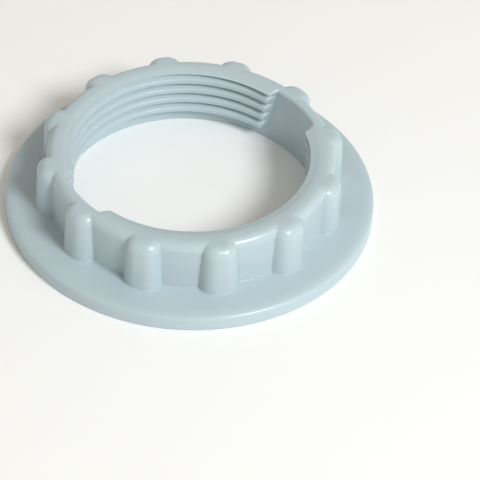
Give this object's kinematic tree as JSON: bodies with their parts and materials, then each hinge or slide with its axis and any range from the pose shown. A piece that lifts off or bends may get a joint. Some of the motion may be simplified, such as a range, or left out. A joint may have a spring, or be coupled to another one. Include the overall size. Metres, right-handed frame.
{
  "type": "flanged back nut",
  "caption": "Flanged plastic back nut for a pipe fitting: a ribbed round collar with an interrupted internal thread, on a wide flat flange that bears on the wall of a tank or sink.",
  "frame": {"origin": "centre of the flange's flat underside, on the thread's axis", "axes": "+Z along the thread's axis, from the flange up to the collar's rim; +X is an arbitrary direction across the nut"},
  "size_m": [0.07, 0.07, 0.0133],
  "materials": {
    "white_plastic": "satin"
  },
  "bodies": {
    "root": {"back_nut": "white_plastic"}
  },
  "joints": []
}
